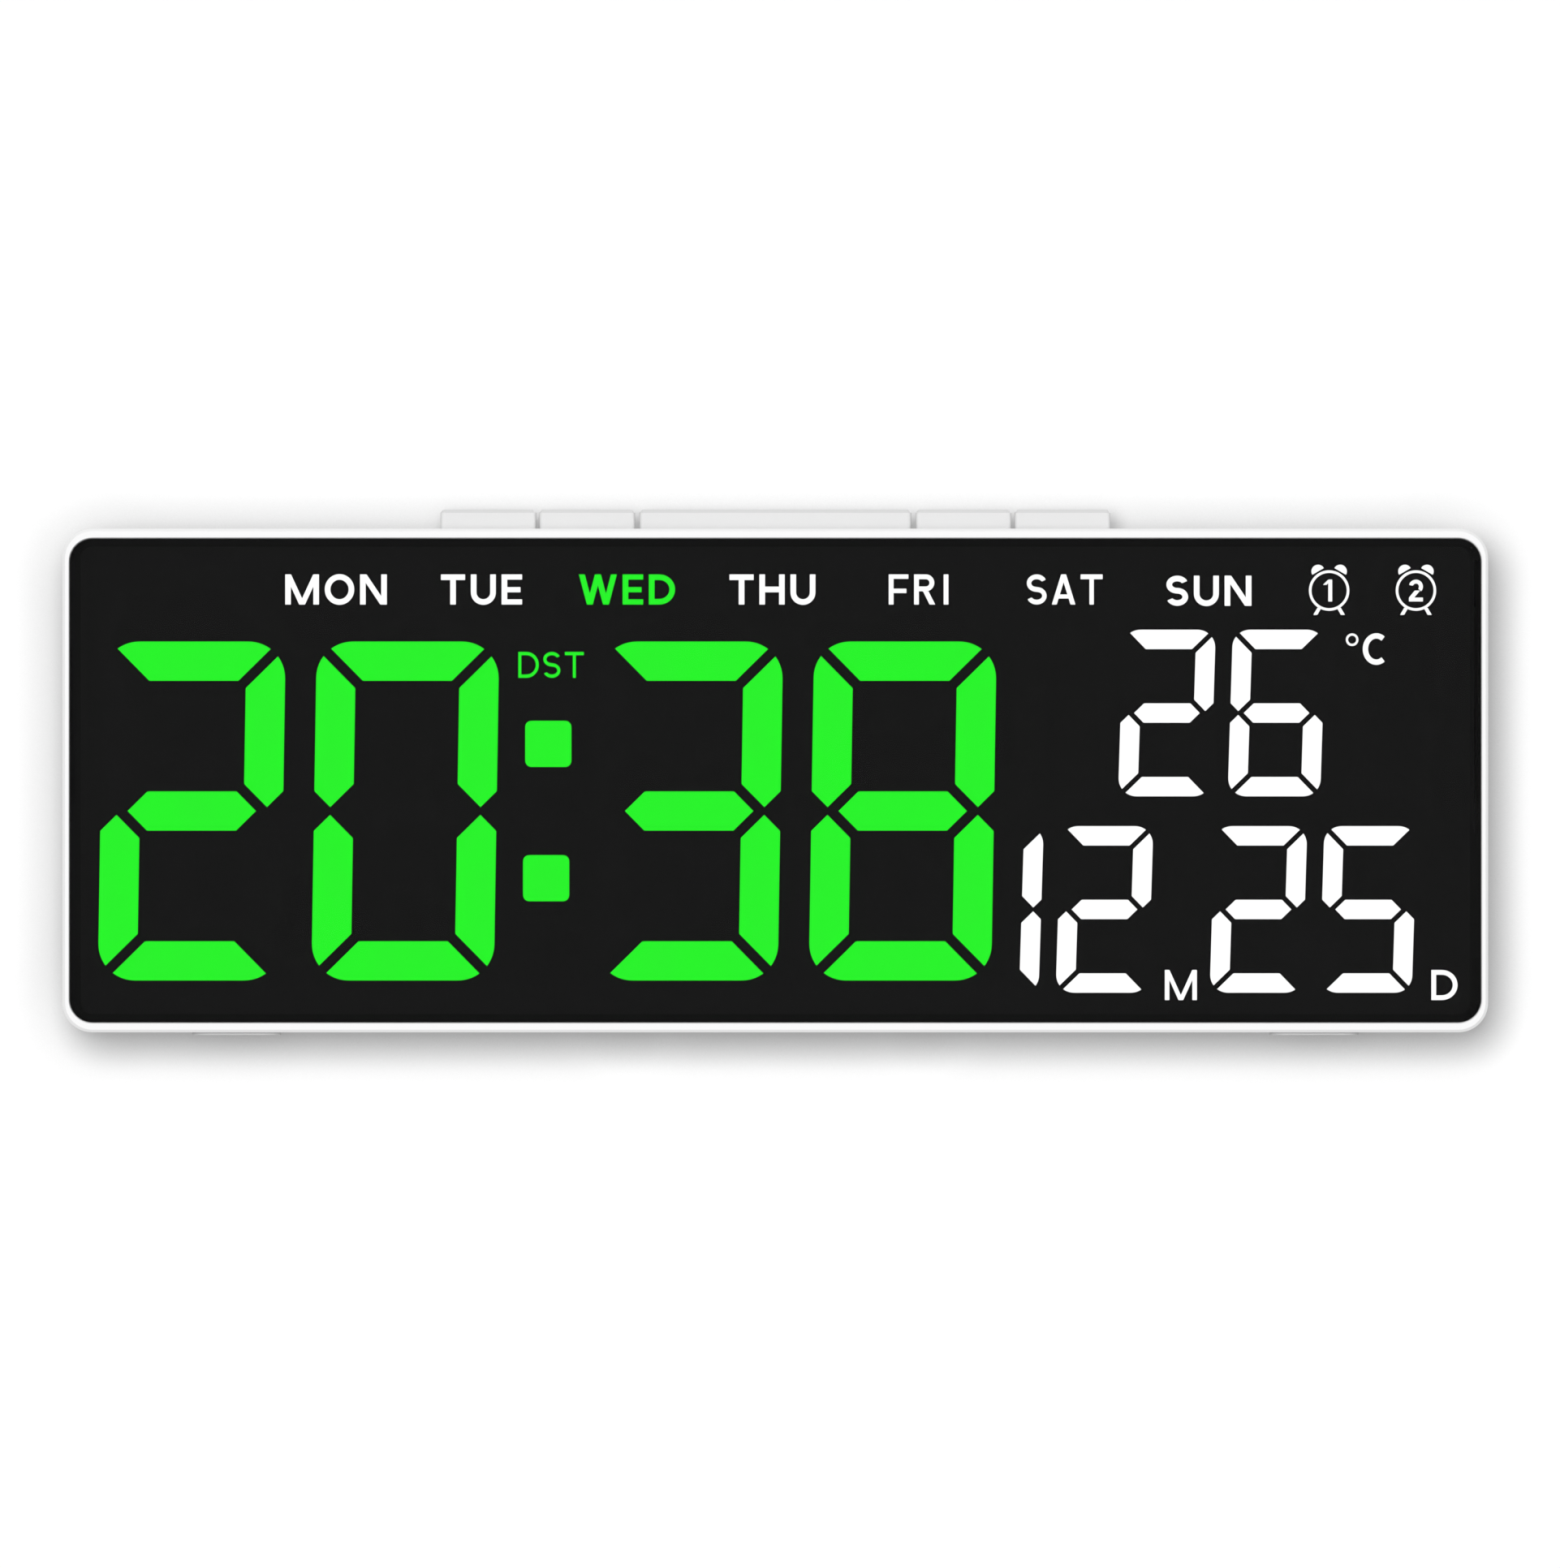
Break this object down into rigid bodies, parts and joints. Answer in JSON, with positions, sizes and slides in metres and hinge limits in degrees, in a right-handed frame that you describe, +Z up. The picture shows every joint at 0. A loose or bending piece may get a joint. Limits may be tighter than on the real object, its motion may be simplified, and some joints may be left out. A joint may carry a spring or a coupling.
{
  "type": "digital alarm clock",
  "caption": "Wide digital alarm clock with a smoked lens over green light-well digits, a row of push buttons on top, a battery door and a fold-out stand leg behind.",
  "frame": {"origin": "on the table, under the middle of the case: centre of the bounding box in x and y, the feet's lowest face in z", "axes": "+X to the right seen from the front, -Y out of the display, +Z up"},
  "size_m": [0.225, 0.028, 0.0829],
  "materials": {
    "case_white": "satin moulded ABS",
    "button_white": "satin moulded ABS",
    "smoked_lens": "smoked acrylic, polished",
    "tape_black": "foam tape",
    "reflector_black": "black moulded face",
    "green_light": "lit diffuser",
    "white_light": "lit diffuser",
    "dark_segment": "unlit diffuser",
    "tile_black": "printed mask film",
    "board_green": "solder mask",
    "lamp_body": "lamp package",
    "chip_black": "moulded package",
    "switch_black": "moulded switch body",
    "plunger_black": "moulded plunger",
    "screw_steel": "zinc plated",
    "can_metal": "drawn can",
    "socket_steel": "nickel plated",
    "header_pins": "pin strip",
    "sensor_resin": "epoxy bead",
    "cell_sleeve": "plain sleeve",
    "contact_nickel": "nickel plated",
    "foot_rubber": "soft rubber"
  },
  "bodies": {
    "case": {"front_frame": "case_white", "rear_shell": "case_white", "front_lens": "smoked_lens", "lens_tape": "tape_black", "display_reflector": "reflector_black", "time_segments_lit": "green_light", "time_segments_dark": "dark_segment", "calendar_segments_lit": "white_light", "calendar_segments_dark": "dark_segment", "indicator_tiles": "tile_black", "display_board": "board_green", "time_lamps": "lamp_body", "calendar_lamps": "lamp_body", "indicator_lamps": "lamp_body", "display_screws": "screw_steel", "controller_chip": "chip_black", "driver_chips": "chip_black", "crystal": "can_metal", "capacitors": "can_metal", "case_screws": "screw_steel", "key_board": "board_green", "switch_bodies": "switch_black", "key_board_screws": "screw_steel", "power_board": "board_green", "power_socket": "socket_steel", "power_board_screws": "screw_steel", "key_header": "header_pins", "power_header": "header_pins", "buzzer": "chip_black", "temperature_sensor": "sensor_resin", "battery_cells": "cell_sleeve", "battery_contacts": "contact_nickel", "front_feet": "foot_rubber", "rear_feet": "foot_rubber"},
    "door": {"battery_door": "case_white"},
    "stand": {"stand_leg": "case_white", "stand_pad": "foot_rubber"},
    "key_mode": {"button_mode": "button_white", "plunger_mode": "plunger_black"},
    "key_alarm": {"button_alarm": "button_white", "plunger_alarm": "plunger_black"},
    "key_snooze": {"button_snooze": "button_white", "plunger_snooze": "plunger_black"},
    "key_down": {"button_down": "button_white", "plunger_down": "plunger_black"},
    "key_up": {"button_up": "button_white", "plunger_up": "plunger_black"}
  },
  "joints": [
    {"name": "mode_press", "type": "slide", "parent": "case", "child": "key_mode", "axis": [0, 0, 1], "range_m": [-0.0005, 0], "stiffness_N_per_m": 400, "springref_m": 0.0004},
    {"name": "alarm_press", "type": "slide", "parent": "case", "child": "key_alarm", "axis": [0, 0, 1], "range_m": [-0.0005, 0], "stiffness_N_per_m": 400, "springref_m": 0.0004},
    {"name": "snooze_press", "type": "slide", "parent": "case", "child": "key_snooze", "axis": [0, 0, 1], "range_m": [-0.0005, 0], "stiffness_N_per_m": 400, "springref_m": 0.0004},
    {"name": "down_press", "type": "slide", "parent": "case", "child": "key_down", "axis": [0, 0, 1], "range_m": [-0.0005, 0], "stiffness_N_per_m": 400, "springref_m": 0.0004},
    {"name": "up_press", "type": "slide", "parent": "case", "child": "key_up", "axis": [0, 0, 1], "range_m": [-0.0005, 0], "stiffness_N_per_m": 400, "springref_m": 0.0004},
    {"name": "door_hinge", "type": "hinge", "parent": "case", "child": "door", "pos_m": [-0.06, 0.014, 0.02065], "axis": [-1, 0, 0], "range_deg": [0, 80]},
    {"name": "stand_hinge", "type": "hinge", "parent": "case", "child": "stand", "pos_m": [0, 0.0124, 0.05505], "axis": [1, 0, 0], "range_deg": [0, 25]}
  ]
}
